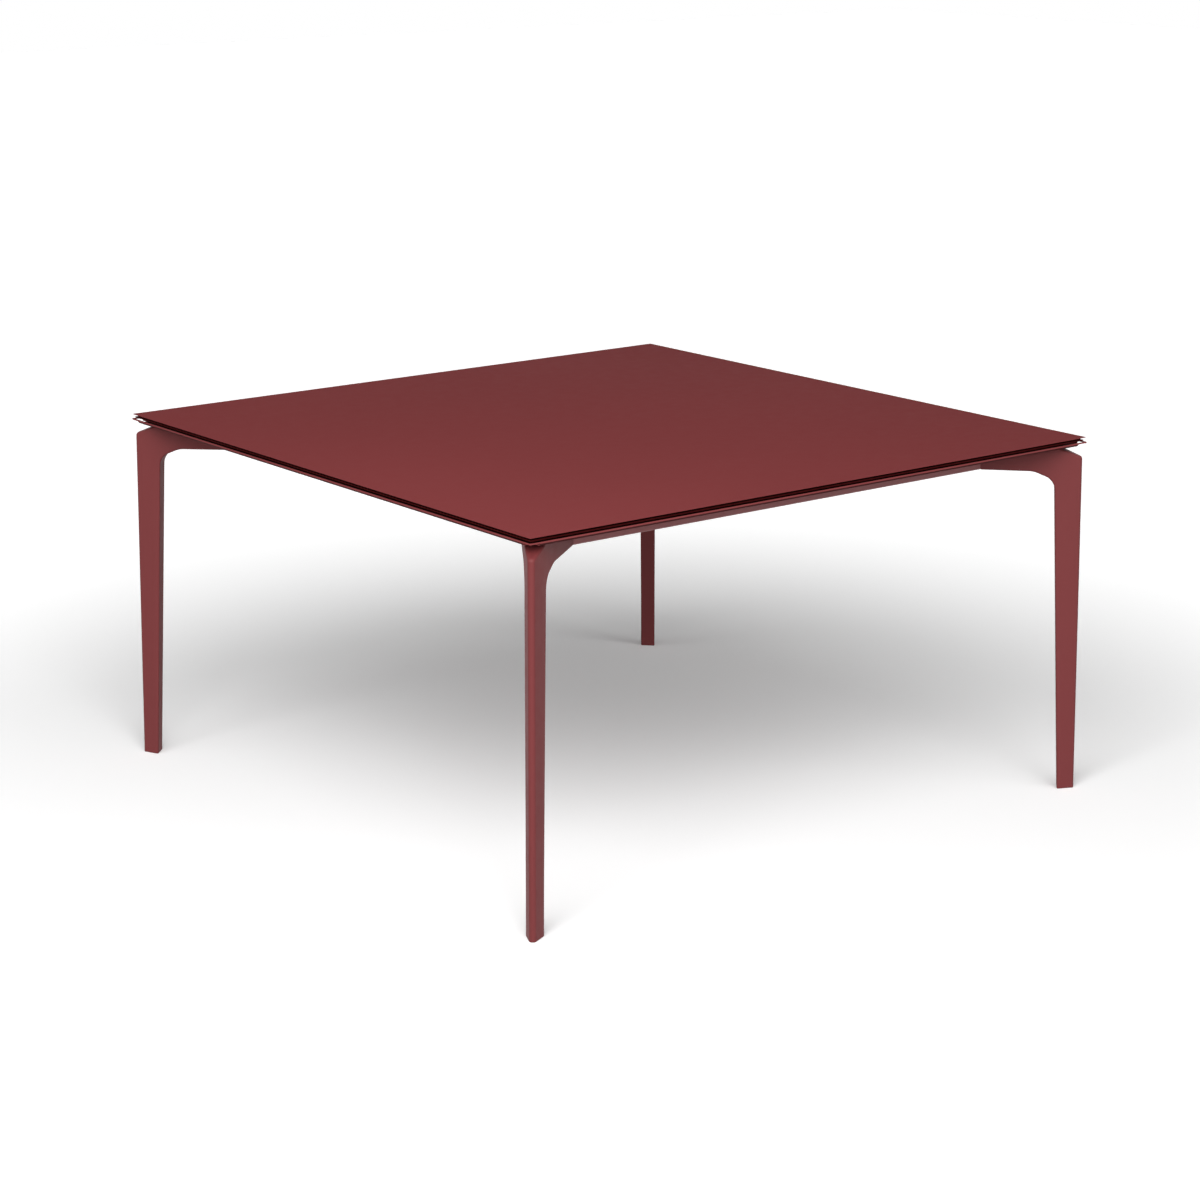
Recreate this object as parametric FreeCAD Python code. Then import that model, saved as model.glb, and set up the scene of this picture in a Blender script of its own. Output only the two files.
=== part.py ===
import FreeCAD, Part
import math
import os

# Square dining table on four wedge legs. Millimetres, +Z up, floor at z = 0, centre of the table at the origin.
# Corners and sides are named as they are seen in the photo: the front corner is the one at (-x, -y).

# Overall
side = 1400.0
height = 744.0

# Top panel: skin, core and backer
skin_inset = 1.0
skin_thickness = 1.0
skin_corner = 2.5
core_inset = 9.0
core_thickness = 4.6
backer_inset = 4.6
backer_thickness = 2.0

# Rubber strips between the tray and the panel
strip_thickness = 7.9
strip_width = 20.0
strip_inset = 32.0

# Edge tray, folded from sheet
sheet = 1.5
lip_gap = 2.0
lip_height = 2.9
bevel_width = 3.8
relief_leg = 38.0
fold_relief = 23.0

# Rails and their corner keys
rail_inset = 116.0
rail_width = 30.0
rail_height = 46.0
rail_wall = 2.5
rail_edge = 5.0
key_reach = 92.0
key_clearance = 0.1

# Leg: nose is the narrow outer side, the inner face is flat
leg_lift = 0.4
foot_overhang = 4.6
foot_depth = 34.8
foot_width = 32.6
neck_setback = 6.3
neck_depth = 54.45
neck_width = 40.9
neck_drop = 90.3
nose_radius = 7.5
heel_radius = 3.9
neck_corner = 0.6
neck_fade = 60.0
foot_bend = 6.0
neck_bend = 18.0
foot_edge = 1.5

# Arm: the part of the leg that runs in under the tray
shoulder_drop = 23.5
shoulder_bevel = 4.0
shoulder_angle = 21.5
knee_radius = 30.0
knee_angle = 24.0
knee_run = 44.0
arm_cheek = 47.5

# Cross bars under the middle of the top
bar_offset = 190.0
bar_width = 40.0
bar_height = 25.0
bar_wall = 2.0
bracket_thickness = 3.0
bracket_leg = 30.0
bracket_width = 30.0
bracket_drop = 18.0

# Fasteners
screw_radius = 2.0
screw_head_radius = 3.75
screw_head = 2.6
screw_grip = 5.0
tray_screw_pitch = 320.0
bolt_radius = 3.0
bolt_head_radius = 5.0
bolt_head = 6.0
bolt_pitch = 18.0
bolt_from_corner = 46.0
bolt_grip = 9.0
bolt_hole_spare = 1.5
washer_radius = 6.5
washer_thickness = 1.6
hole_clearance = 0.25
thread_clearance = 0.05

# Levelling feet
pad_radius = 8.0
pad_height = 4.0
pad_edge = 0.6
pad_clearance = 0.5
foot_wall = 2.0
stud_radius = 4.0
stud_spare = 1.5
insert_wall = 2.0
insert_length = 18.0
insert_spare = 3.0

# Derived levels and places
half = side / 2
corner_r = half * math.sqrt(2)
core_top = height - skin_thickness
backer_top = core_top - core_thickness
backer_bottom = backer_top - backer_thickness
web_top = backer_bottom - strip_thickness
web_bottom = web_top - sheet
lip_top = backer_bottom - lip_gap
lip_bottom = lip_top - lip_height
rail_out = half - rail_inset
rail_in = rail_out - rail_width
rail_bottom = web_bottom - rail_height
neck_z = web_bottom - neck_drop
bar_bottom = web_top - bar_height
rail_middle = web_bottom - rail_height / 2
saddle_x = rail_out * math.sqrt(2)
cheek_x = saddle_x - arm_cheek
arm_end_x = cheek_x - arm_cheek

corner_names = ["back", "left", "front", "right"]
side_names = ["back_right", "back_left", "front_left", "front_right"]
UP = FreeCAD.Vector(0, 0, 1)


def vec(x, y, z=0.0):
    return FreeCAD.Vector(x, y, z)


def box(x0, x1, y0, y1, z0, z1):
    return Part.makeBox(x1 - x0, y1 - y0, z1 - z0, vec(x0, y0, z0))


def prism(points, z0, z1):
    """Upright prism over a plan outline."""
    corners = [vec(x, y, z0) for x, y in points]
    face = Part.Face(Part.makePolygon(corners + corners[:1]))
    return face.extrude(vec(0, 0, z1 - z0))


def along_y(points, y0, y1):
    """Bar over an outline in the XZ plane."""
    corners = [vec(x, y0, z) for x, z in points]
    face = Part.Face(Part.makePolygon(corners + corners[:1]))
    return face.extrude(vec(0, y1 - y0, 0))


def rod(radius, start, direction, length):
    return Part.makeCylinder(radius, length, start, direction)


def turned(shape, degrees):
    copy = shape.copy()
    copy.rotate(vec(0, 0), UP, degrees)
    return copy


def quarter(shape, k):
    return turned(shape, 90 * k)


def all_quarters(shapes):
    return [quarter(s, k) for k in range(4) for s in shapes]


def save(shape, name):
    shape.exportStep("parts/" + name + ".step")


def save_group(shapes, name):
    save(Part.makeCompound(shapes), name)


def fastener(shank_radius, shank, head_radius, head, under_head, direction):
    """Screw or bolt whose head seats at the point under_head and whose shank runs along direction."""
    back = vec(-direction.x, -direction.y, -direction.z)
    return rod(shank_radius, under_head, direction, shank).fuse(rod(head_radius, under_head, back, head))


# The quarter of the plan that belongs to the side at +X
reach = side
side_quarter = prism([(0, 0), (reach, -reach), (reach, reach)], 0, height)


def square_plate(inset, z0, thickness, corner):
    edge = half - inset
    plate = box(-edge, edge, -edge, edge, z0, z0 + thickness)
    if corner > 0:
        upright = [e for e in plate.Edges if abs(e.tangentAt(e.FirstParameter).z) > 0.9]
        plate = plate.makeFillet(corner, upright)
    return plate


def make_tray():
    inner = half - bevel_width
    slant = sheet * math.tan(math.radians(22.5))
    outline = [
        (half, lip_top), (half, lip_bottom), (inner, web_bottom), (rail_in, web_bottom), (rail_in, web_top),
        (inner - slant, web_top), (half - sheet, lip_bottom + slant), (half - sheet, lip_top),
    ]
    tray = along_y(outline, -half, half).common(side_quarter)
    # At each corner the web is cut off inside the fold, and the fold itself stops short of the corner
    edge = inner - slant
    start = side - relief_leg - edge
    for sign in (1, -1):
        relief = [(edge, sign * edge), (edge, sign * start), (start, sign * edge)]
        tray = tray.cut(prism(relief, rail_bottom, lip_bottom))
        low, high = sorted([sign * half, sign * (half - fold_relief)])
        tray = tray.cut(box(edge, half, low, high, rail_bottom, lip_bottom))
    for y in tray_screw_places():
        tray = tray.cut(rod(screw_radius + hole_clearance, vec(rail_mid(), y, web_bottom), UP, sheet))
    return tray


def tray_screw_places():
    return [-tray_screw_pitch, 0.0, tray_screw_pitch]


def rail_mid():
    return rail_out - rail_width / 2


def make_rail():
    outer = box(rail_in, rail_out, -rail_out, rail_out, rail_bottom, web_bottom)
    lower = []
    for e in outer.Edges:
        middle = e.CenterOfMass
        if abs(middle.z - rail_bottom) < 0.01 and abs(middle.y) < 0.01:
            lower.append(e)
    outer = outer.makeFillet(rail_edge, lower)
    hollow = box(rail_in + rail_wall, rail_out - rail_wall, -rail_out, rail_out,
                 rail_bottom + rail_wall, web_bottom - rail_wall)
    rail = outer.cut(hollow).common(side_quarter)
    for y in tray_screw_places():
        rail = rail.cut(rod(screw_radius + thread_clearance, vec(rail_mid(), y, web_bottom - rail_wall), UP, rail_wall))
    for sign in (1, -1):
        for start in bolt_starts(sign):
            rail = rail.cut(rod(bolt_radius + hole_clearance, start, vec(1, 0), rail_width))
    return rail


def bolt_starts(sign):
    """Points on the inner face of the +X rail where the bolts of one corner go in."""
    y = sign * (rail_out - bolt_from_corner)
    return [vec(rail_in, y, rail_middle + step * bolt_pitch / 2) for step in (1, -1)]


def corner_bolts(make):
    """Bolt-like shapes of the corner at (+x, +y): those of the +X rail and those of the +Y rail."""
    own = [make(start) for start in bolt_starts(1)]
    other = [quarter(make(start), 1) for start in bolt_starts(-1)]
    return own + other


def make_key():
    outer = rail_out - rail_wall - key_clearance
    inner = rail_in + rail_wall + key_clearance
    end = rail_out - key_reach
    outline = [(outer, outer), (outer, end), (inner, end), (inner, inner), (end, inner), (end, outer)]
    key = prism(outline, rail_bottom + rail_wall, web_bottom - rail_wall - key_clearance)
    for hole in corner_bolts(lambda p: rod(bolt_radius + hole_clearance, p, vec(1, 0), rail_width)):
        key = key.cut(hole)
    return key


class Wedge:
    """Plan outline of the leg at a height, with the table's diagonal along +X."""

    def __init__(self, z, corner=None):
        share = z / neck_z
        depth = foot_depth + (neck_depth - foot_depth) * share
        width = foot_width + (neck_width - foot_width) * share
        self.z = z
        self.nose = corner_r + foot_overhang - (foot_overhang + neck_setback) * share
        self.heel = self.nose - depth
        self.corner = heel_radius if corner is None else corner
        self.nose_x = self.nose - nose_radius
        # The sides are tangent to the nose and to a rounded corner at the heel
        run = self.heel + heel_radius - self.nose_x
        rise = width / 2 - heel_radius
        span = math.hypot(run, rise)
        turn = math.atan2(rise, run) - math.acos((nose_radius - heel_radius) / span)
        self.normal = (math.cos(turn), math.sin(turn))
        # From the bend inwards the sides follow the arm's own, wider line
        self.bend_x = self.heel + foot_bend + (neck_bend - foot_bend) * share
        reach_line = self.nose_x * self.normal[0] + nose_radius
        self.bend_y = (reach_line - self.bend_x * self.normal[0]) / self.normal[1]
        self.flare = (arm_cheek - self.bend_y) / (self.bend_x - cheek_x)

    def point(self, x, y):
        return vec(x, y, self.z)

    def nose_tangent(self, sign):
        return self.point(self.nose_x + nose_radius * self.normal[0], sign * nose_radius * self.normal[1])

    def bend(self, sign):
        return self.point(self.bend_x, sign * self.bend_y)

    def nose_arc(self):
        return Part.Arc(self.nose_tangent(-1), self.point(self.nose, 0), self.nose_tangent(1)).toShape()

    def sides(self):
        return [Part.makeLine(self.nose_tangent(s), self.bend(s)) for s in (1, -1)]

    def leg_wire(self):
        """Rounded wedge: nose, sides, rounded heel corners and the flat inner face."""
        length = math.hypot(self.flare, 1)
        out = (self.flare / length, 1 / length)
        reach_line = self.bend_x * out[0] + self.bend_y * out[1]
        x = self.heel + self.corner
        y = (reach_line - self.corner - x * out[0]) / out[1]
        half_turn = (math.atan2(out[1], out[0]) + math.pi) / 2
        edges = [self.nose_arc()] + self.sides()
        for s in (1, -1):
            start = self.point(x + self.corner * out[0], s * (y + self.corner * out[1]))
            middle = self.point(x + self.corner * math.cos(half_turn), s * (y + self.corner * math.sin(half_turn)))
            edges.append(Part.makeLine(self.bend(s), start))
            edges.append(Part.Arc(start, middle, self.point(self.heel, s * y)).toShape())
        edges.append(Part.makeLine(self.point(self.heel, y), self.point(self.heel, -y)))
        return Part.Wire(Part.__sortEdges__(edges))

    def foot_wire(self):
        """The same outline drawn in all round by the bevel at the floor."""
        wire = self.leg_wire()
        wire.scale(1 - 2 * foot_edge / foot_width, self.point(self.heel + foot_depth / 2, 0))
        return wire

    def arm_wire(self):
        """Nose and sides, which run on at the arm's own angle past the saddle."""
        edges = [self.nose_arc()] + self.sides()
        end_y = self.bend_y + self.flare * (self.bend_x - arm_end_x)
        ends = [self.point(arm_end_x, s * end_y) for s in (1, -1)]
        edges.append(Part.makeLine(self.bend(1), ends[0]))
        edges.append(Part.makeLine(self.bend(-1), ends[1]))
        edges.append(Part.makeLine(ends[0], ends[1]))
        return Part.Wire(Part.__sortEdges__(edges))


def across(points, arc=None):
    """Slab right across the arm over an outline in the diagonal plane, with an arc from its last to its first point."""
    reach_y = 3 * arm_cheek
    places = [vec(x, -reach_y, z) for x, z in points]
    if arc is None:
        edges = [Part.makeLine(places[-1], places[0])]
    else:
        edges = [Part.Arc(places[-1], vec(arc[0], -reach_y, arc[1]), places[0]).toShape()]
    for start, end in zip(places[:-1], places[1:]):
        edges.append(Part.makeLine(start, end))
    face = Part.Face(Part.Wire(Part.__sortEdges__(edges)))
    return face.extrude(vec(0, 2 * reach_y, 0))


def under_arm():
    """What is cut from under the arm: round the knee from the leg's inner face, then in along the underside."""
    heel = Wedge(neck_z).heel
    knee = math.radians(knee_angle)
    centre_x = heel - knee_radius
    turns = [math.pi / 2 - knee, math.pi / 4 - knee / 2]
    places = [(centre_x + knee_radius * math.cos(a), neck_z + knee_radius * math.sin(a)) for a in turns]
    knee_end, knee_mid = places
    slope_x = heel - knee_run
    slope_z = knee_end[1] + (knee_end[0] - slope_x) * math.tan(knee)
    rise = (rail_bottom - slope_z) / (slope_x - cheek_x)
    end_x = arm_end_x - arm_cheek
    below = neck_z - neck_drop
    outline = [
        (heel, neck_z), (heel, below), (end_x, below), (end_x, rail_bottom + rise * (cheek_x - end_x)),
        (slope_x, slope_z), knee_end,
    ]
    return across(outline, knee_mid)


def over_shoulder():
    """What is cut from the top of the leg: a bevel at the nose, then the slope up to the tray's web."""
    nose = Wedge(neck_z).nose
    slope = math.tan(math.radians(shoulder_angle))
    corner_z = web_bottom - shoulder_drop
    inner = (nose - shoulder_bevel, corner_z + shoulder_bevel * slope)
    steep = (inner[1] - corner_z + shoulder_bevel) / shoulder_bevel
    out_x = nose + shoulder_drop
    top_z = web_bottom + shoulder_drop
    top_x = nose - 2 * shoulder_drop / slope
    return across([(out_x, inner[1] - steep * (out_x - inner[0])), (out_x, top_z), (top_x, top_z), inner])


def leg_blank():
    """Leg and arm along the diagonal, before the saddle and the holes."""
    sections = [
        Wedge(leg_lift).foot_wire(), Wedge(leg_lift + foot_edge).leg_wire(), Wedge(neck_z - neck_fade).leg_wire(),
        Wedge(neck_z, neck_corner).leg_wire(),
    ]
    leg = Part.makeLoft(sections, True, True)
    arm = Part.makeLoft([Wedge(neck_z).arm_wire(), Wedge(web_bottom).arm_wire()], True, True)
    return leg.fuse(arm.cut(under_arm()).cut(over_shoulder()))


def foot_place():
    """Distance of the levelling foot from the table's centre, along the diagonal."""
    return Wedge(0).heel + pad_radius + pad_clearance + foot_wall


def make_leg():
    """Leg and arm of the corner at (+x, +y)."""
    leg = turned(leg_blank(), 45)
    saddle = box(-rail_out, rail_out, -rail_out, rail_out, 0, height)
    leg = leg.cut(saddle)
    depth = rail_width + bolt_grip + bolt_hole_spare
    for hole in corner_bolts(lambda p: rod(bolt_radius + thread_clearance, p, vec(1, 0), depth)):
        leg = leg.cut(hole)
    place = foot_place() / math.sqrt(2)
    leg = leg.cut(rod(pad_radius + pad_clearance, vec(place, place, 0), UP, pad_height))
    socket = pad_height + insert_length + insert_spare
    leg = leg.cut(rod(stud_radius + insert_wall, vec(place, place, 0), UP, socket))
    return leg


def make_insert():
    place = foot_place() / math.sqrt(2)
    start = vec(place, place, pad_height)
    tube = rod(stud_radius + insert_wall, start, UP, insert_length)
    return tube.cut(rod(stud_radius + thread_clearance, start, UP, insert_length))


def make_foot():
    place = foot_place() / math.sqrt(2)
    pad = rod(pad_radius, vec(place, place, 0), UP, pad_height)
    rim = [e for e in pad.Edges if e.CenterOfMass.z < 0.01 and isinstance(e.Curve, Part.Circle)]
    pad = pad.makeFillet(pad_edge, rim)
    return pad.fuse(rod(stud_radius, vec(place, place, pad_height), UP, insert_length + stud_spare))


def leg_bolt(p):
    shank = rail_width + washer_thickness + bolt_grip
    seat = vec(p.x - washer_thickness, p.y, p.z)
    return fastener(bolt_radius, shank, bolt_head_radius, bolt_head, seat, vec(1, 0))


def leg_washer(p):
    start = vec(p.x - washer_thickness, p.y, p.z)
    disc = rod(washer_radius, start, vec(1, 0), washer_thickness)
    return disc.cut(rod(bolt_radius + hole_clearance, start, vec(1, 0), washer_thickness))


def tray_screw(y):
    shank = sheet + rail_wall + screw_grip
    return fastener(screw_radius, shank, screw_head_radius, screw_head, vec(rail_mid(), y, web_top), vec(0, 0, -1))


def make_strip():
    """Strip of the side at +X. Each strip runs past the end of its neighbour, so the four close a ring."""
    outer = half - strip_inset
    inner = outer - strip_width
    return box(inner, outer, -inner, outer, web_top, backer_bottom)


def bracket_seat():
    """Under the head of the bracket's screw into the rail, at y = 0."""
    return vec(rail_in - bracket_thickness, 0, bar_bottom - bracket_drop / 2)


def bar_seat():
    """Under the head of the bracket's screw into the cross bar, at y = 0."""
    return vec(rail_in - 2 * bracket_leg / 3, 0, bar_bottom - bracket_thickness)


def bracket_screws():
    shank = bracket_thickness + rail_wall + screw_grip
    into_rail = fastener(screw_radius, shank, screw_head_radius, screw_head, bracket_seat(), vec(1, 0))
    into_bar = fastener(screw_radius, shank, screw_head_radius, screw_head, bar_seat(), UP)
    return [into_rail, into_bar]


def make_bracket():
    """Angle under one end of a cross bar, at y = 0 and the +X end."""
    edge = bracket_width / 2
    shelf = box(rail_in - bracket_leg, rail_in, -edge, edge, bar_bottom - bracket_thickness, bar_bottom)
    plate = box(rail_in - bracket_thickness, rail_in, -edge, edge, bar_bottom - bracket_drop, bar_bottom)
    angle = shelf.fuse(plate).removeSplitter()
    angle = angle.cut(rod(screw_radius + hole_clearance, bracket_seat(), vec(1, 0), bracket_thickness))
    return angle.cut(rod(screw_radius + hole_clearance, bar_seat(), UP, bracket_thickness))


def make_bar():
    """Cross bar along X, at y = 0."""
    edge = bar_width / 2
    outer = box(-rail_in, rail_in, -edge, edge, bar_bottom, web_top)
    hollow = box(-rail_in, rail_in, -edge + bar_wall, edge - bar_wall, bar_bottom + bar_wall, web_top - bar_wall)
    bar = outer.cut(hollow)
    for degrees in (0, 180):
        seat = bar_seat()
        hole = rod(screw_radius + thread_clearance, vec(seat.x, 0, bar_bottom), UP, bar_wall)
        bar = bar.cut(turned(hole, degrees))
    return bar


def make_bar_pad():
    edge = strip_width / 2
    return box(-rail_in, rail_in, -edge, edge, web_top, backer_bottom)


def at_bar(shape, sign, degrees=0):
    copy = turned(shape, degrees)
    copy.translate(vec(0, sign * bar_offset, 0))
    return copy


def bracket_holes():
    """Threaded holes in the rails for the brackets of both cross bars."""
    hole = rod(screw_radius + thread_clearance, bracket_seat(), vec(1, 0), bracket_thickness + rail_wall)
    return [at_bar(hole, sign, degrees) for sign in (1, -1) for degrees in (0, 180)]


def main():
    os.makedirs("parts", exist_ok=True)
    save(square_plate(skin_inset, core_top, skin_thickness, skin_corner), "top_skin")
    save(square_plate(core_inset, backer_top, core_thickness, 0), "top_core")
    save(square_plate(backer_inset, backer_bottom, backer_thickness, 0), "top_backer")
    tray = make_tray()
    rail = make_rail()
    strip = make_strip()
    for k, name in enumerate(side_names):
        save(quarter(tray, k), "edge_tray_" + name)
        side_rail = quarter(rail, k)
        for hole in bracket_holes():
            side_rail = side_rail.cut(hole)
        save(side_rail, "rail_" + name)
        save(quarter(strip, k), "spacer_strip_" + name)
    leg = make_leg()
    key = make_key()
    foot = make_foot()
    for k, name in enumerate(corner_names):
        save(quarter(leg, k), "leg_" + name)
        save(quarter(key, k), "corner_key_" + name)
        save(quarter(foot, k), "levelling_foot_" + name)
    save_group(all_quarters([make_insert()]), "foot_inserts")
    save_group(all_quarters(corner_bolts(leg_bolt)), "leg_bolts")
    save_group(all_quarters(corner_bolts(leg_washer)), "leg_washers")
    save_group(all_quarters([tray_screw(y) for y in tray_screw_places()]), "tray_screws")
    screws = []
    for sign, bar_name in ((1, "back"), (-1, "front")):
        save(at_bar(make_bar(), sign), "cross_bar_" + bar_name)
        save(at_bar(make_bar_pad(), sign), "bar_pad_" + bar_name)
        for degrees, end_name in ((0, "right"), (180, "left")):
            save(at_bar(make_bracket(), sign, degrees), "bar_bracket_" + bar_name + "_" + end_name)
            screws += [at_bar(screw, sign, degrees) for screw in bracket_screws()]
    save_group(screws, "bracket_screws")


main()
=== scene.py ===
"""Square dining table with a thin folded edge and four wedge legs, dressed over its solids."""

import math

import bmesh
import bpy
from bpy.props import FloatProperty, FloatVectorProperty, PointerProperty
from mathutils import Matrix, Vector


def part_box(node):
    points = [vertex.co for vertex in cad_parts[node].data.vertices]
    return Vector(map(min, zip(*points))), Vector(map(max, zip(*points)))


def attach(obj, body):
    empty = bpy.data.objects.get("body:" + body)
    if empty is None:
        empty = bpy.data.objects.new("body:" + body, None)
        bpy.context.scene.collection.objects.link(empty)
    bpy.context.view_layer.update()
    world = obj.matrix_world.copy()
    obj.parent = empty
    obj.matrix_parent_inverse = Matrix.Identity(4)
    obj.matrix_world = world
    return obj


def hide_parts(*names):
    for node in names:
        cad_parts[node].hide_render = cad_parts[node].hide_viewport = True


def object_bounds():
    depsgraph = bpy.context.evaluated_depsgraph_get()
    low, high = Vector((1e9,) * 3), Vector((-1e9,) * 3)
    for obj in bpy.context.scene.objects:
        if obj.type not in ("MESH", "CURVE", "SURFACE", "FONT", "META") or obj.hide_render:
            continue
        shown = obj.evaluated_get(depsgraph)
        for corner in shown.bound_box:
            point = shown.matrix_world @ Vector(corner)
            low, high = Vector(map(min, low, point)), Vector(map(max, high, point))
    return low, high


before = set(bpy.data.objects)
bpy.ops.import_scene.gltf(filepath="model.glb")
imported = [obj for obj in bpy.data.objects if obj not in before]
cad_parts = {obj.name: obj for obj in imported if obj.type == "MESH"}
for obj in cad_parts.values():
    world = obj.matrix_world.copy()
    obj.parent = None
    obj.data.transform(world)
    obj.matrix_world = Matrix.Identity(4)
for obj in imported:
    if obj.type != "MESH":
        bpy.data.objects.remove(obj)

bl_info = {
    "name": "Square dining table",
    "version": (1, 0, 0),
    "blender": (4, 5, 0),
    "location": "View3D > Sidebar > Table",
    "description": "Dresses the solids of a square dining table and sets up its studio",
    "category": "Object",
}

# Lower and upper corner of the solids' box
CAD_BOX = [list(corner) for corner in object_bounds()]
# Names of the corners from the one at +X +Y, and of the sides from the one at +X, anticlockwise from above
CORNERS = ["back", "left", "front", "right"]
SIDES = ["back_right", "back_left", "front_left", "front_right"]
# Side of the table's middle on which each cross bar lies, and the turn of the brackets at the bars' ends
BARS = {"back": 1, "front": -1}
BAR_ENDS = {"right": 0, "left": 180}

# Points closer than these count as one, when places are compared and when a shape is cut
SAME_PLACE = 1e-6
CUT_TOLERANCE = 1e-7
# Share of an edge's length that has to run along an axis
PARALLEL = 0.999
# Shading is smooth across edges up to these angles in degrees
SMOOTH_ANGLE = 32
THREAD_ANGLE = 20
# Each fold turns the sheet by about this angle
FOLD_ANGLE = math.radians(45)
# Height of the stretches that a leg's sides are divided into
LEG_STRETCH = 0.1
# Rounding of a leg's edges: the widest, the nose's share of its half width, and the flattest edge rounded
WIDEST_ROUNDING = 0.004
NOSE_SHARE = 0.97
FLAT_EDGE = math.radians(8)
# Edges of the leg this close to the saddle stay sharp
SADDLE_MARGIN = 1e-4
# How far the cutter of the foot's hole stands out below the floor
HOLE_OVERRUN = 0.002
# Inputs of the shared grain, their values on the coated pieces, and the grain's height in metres
GRAIN_SCALES = ("Cloud Scale", "Gloss Scale", "Grain Scale")
COAT_SCALES = (2.2, 45.0, 620.0)
GRAIN_HEIGHT = 0.0004
# How far a face's normal points up or down, from 0 to 1, where the painted shade on faces that look up or
# down starts and where it is full
PAINTED_SHADE_START = 0.3
PAINTED_SHADE_END = 0.6
# The studio's white, half the floor's side, and where the far lamps' marks stand, in metres
WHITE = (1, 1, 1, 1)
FLOOR_REACH = 20
LAMP_DISTANCE = 5


def middle(node):
    """The middle of a solid's box."""
    low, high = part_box(node)
    return (Vector(low) + Vector(high)) / 2


# Places in the solids, in metres
TRAY_LOW, TRAY_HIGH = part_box("edge_tray_back_right")
RAIL_LOW, RAIL_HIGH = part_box("rail_back_right")
BRACKET_LOW, BRACKET_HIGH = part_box("bar_bracket_back_right")
HALF = TRAY_HIGH.x
LIP_TOP = TRAY_HIGH.z
WEB_BOTTOM = TRAY_LOW.z
RAIL_OUT = RAIL_HIGH.x
RAIL_IN = RAIL_LOW.x
RAIL_BOTTOM = RAIL_LOW.z
RAIL_MIDDLE = (RAIL_BOTTOM + WEB_BOTTOM) / 2
LEG_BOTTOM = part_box("leg_back")[0].z
FOOT_PLACE = middle("levelling_foot_back").x
BAR_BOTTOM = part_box("cross_bar_back")[0].z
BAR_Y = middle("cross_bar_back").y


def length(name, description, default):
    """A size in metres that a user can change."""
    return FloatProperty(name=name, description=description, default=default, unit="LENGTH", precision=4)


def angle(name, description, degrees):
    """An angle that a user can change."""
    return FloatProperty(name=name, description=description, default=math.radians(degrees), subtype="ANGLE")


def colour(name, description, default):
    """A colour that a user can change."""
    return FloatVectorProperty(
        name=name, description=description, default=default, size=3, min=0, max=1, subtype="COLOR"
    )


def amount(name, description, default):
    """A plain number that a user can change."""
    return FloatProperty(name=name, description=description, default=default)


def point(name, description, default):
    """A place in metres that a user can change."""
    return FloatVectorProperty(
        name=name, description=description, default=default, subtype="TRANSLATION", unit="LENGTH"
    )


def millimetres(name, description, default):
    """A measure of the camera that a user can change."""
    return FloatProperty(name=name, description=description, default=default, unit="CAMERA")


class TableTopSizes(bpy.types.PropertyGroup):
    """Sizes of the top panel, the folded edge and the rails."""

    skin_corner: length("Skin corner", "Radius of the top sheet's corners in plan", 0.0025)
    skin_edge: length("Skin edge", "Radius along the top sheet's upper edge", 0.0004)
    sheet: length("Sheet", "Thickness of the folded edge's sheet", 0.0015)
    lip_height: length("Lip height", "Height of the folded edge's outer face", 0.0029)
    bevel_width: length("Bevel width", "How far the fold under the lip runs in", 0.0038)
    fold_radius: length("Fold radius", "Outer radius of the folds", 0.0025)
    relief_leg: length("Web relief", "Length cut from the folded edge's web at each corner", 0.026)
    fold_relief: length("Fold relief", "How far from the corner the slanted fold stops", 0.023)
    rail_edge: length("Rail edge", "Radius of the rails' lower edges", 0.005)
    rail_upper_edge: length("Rail upper edge", "Radius of the rails' upper edges", 0.0012)


class TableLegSizes(bpy.types.PropertyGroup):
    """Sizes of a leg and of the arm that carries it under the top."""

    foot_overhang: length("Foot overhang", "How far the foot stands out past the top's corner", 0.0044)
    foot_depth: length("Foot depth", "Depth of the foot along the table's diagonal", 0.0348)
    foot_width: length("Foot width", "Width of the foot across the diagonal", 0.0326)
    neck_setback: length("Neck setback", "How far the neck stands in from the top's corner", 0.0063)
    neck_depth: length("Neck depth", "Depth of the leg at the neck", 0.05445)
    neck_width: length("Neck width", "Width of the leg at the neck", 0.0409)
    neck_drop: length("Neck drop", "Height of the arm above the neck", 0.0903)
    nose_radius: length("Nose radius", "Radius of the leg's outer edge", 0.0075)
    heel_radius: length("Heel radius", "Radius of the leg's inner edges", 0.0039)
    foot_bend: length("Foot bend", "Distance from the heel to the bend in the sides at the foot", 0.006)
    neck_bend: length("Neck bend", "Distance from the heel to the bend in the sides at the neck", 0.018)
    foot_edge: length("Foot edge", "Bevel round the foot at the floor", 0.0015)
    shoulder_drop: length("Shoulder drop", "Height of the shoulder's slope at the nose", 0.0235)
    shoulder_soft: length("Shoulder edge", "Rounding of the shoulder's edges", 0.005)
    shoulder_angle: angle("Shoulder angle", "Slope of the shoulder", 21.5)
    knee_radius: length("Knee radius", "Radius under the arm where it leaves the leg", 0.03)
    knee_angle: angle("Knee angle", "Slope of the arm's underside after the knee", 24.0)
    knee_run: length("Knee run", "Length of the steeper part of the arm's underside", 0.044)
    ease_soft: length("Ease", "Rounding where the arm's underside turns level", 0.008)
    arm_cheek: length("Arm cheek", "Half the arm's width where it meets the rails", 0.0475)


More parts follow.
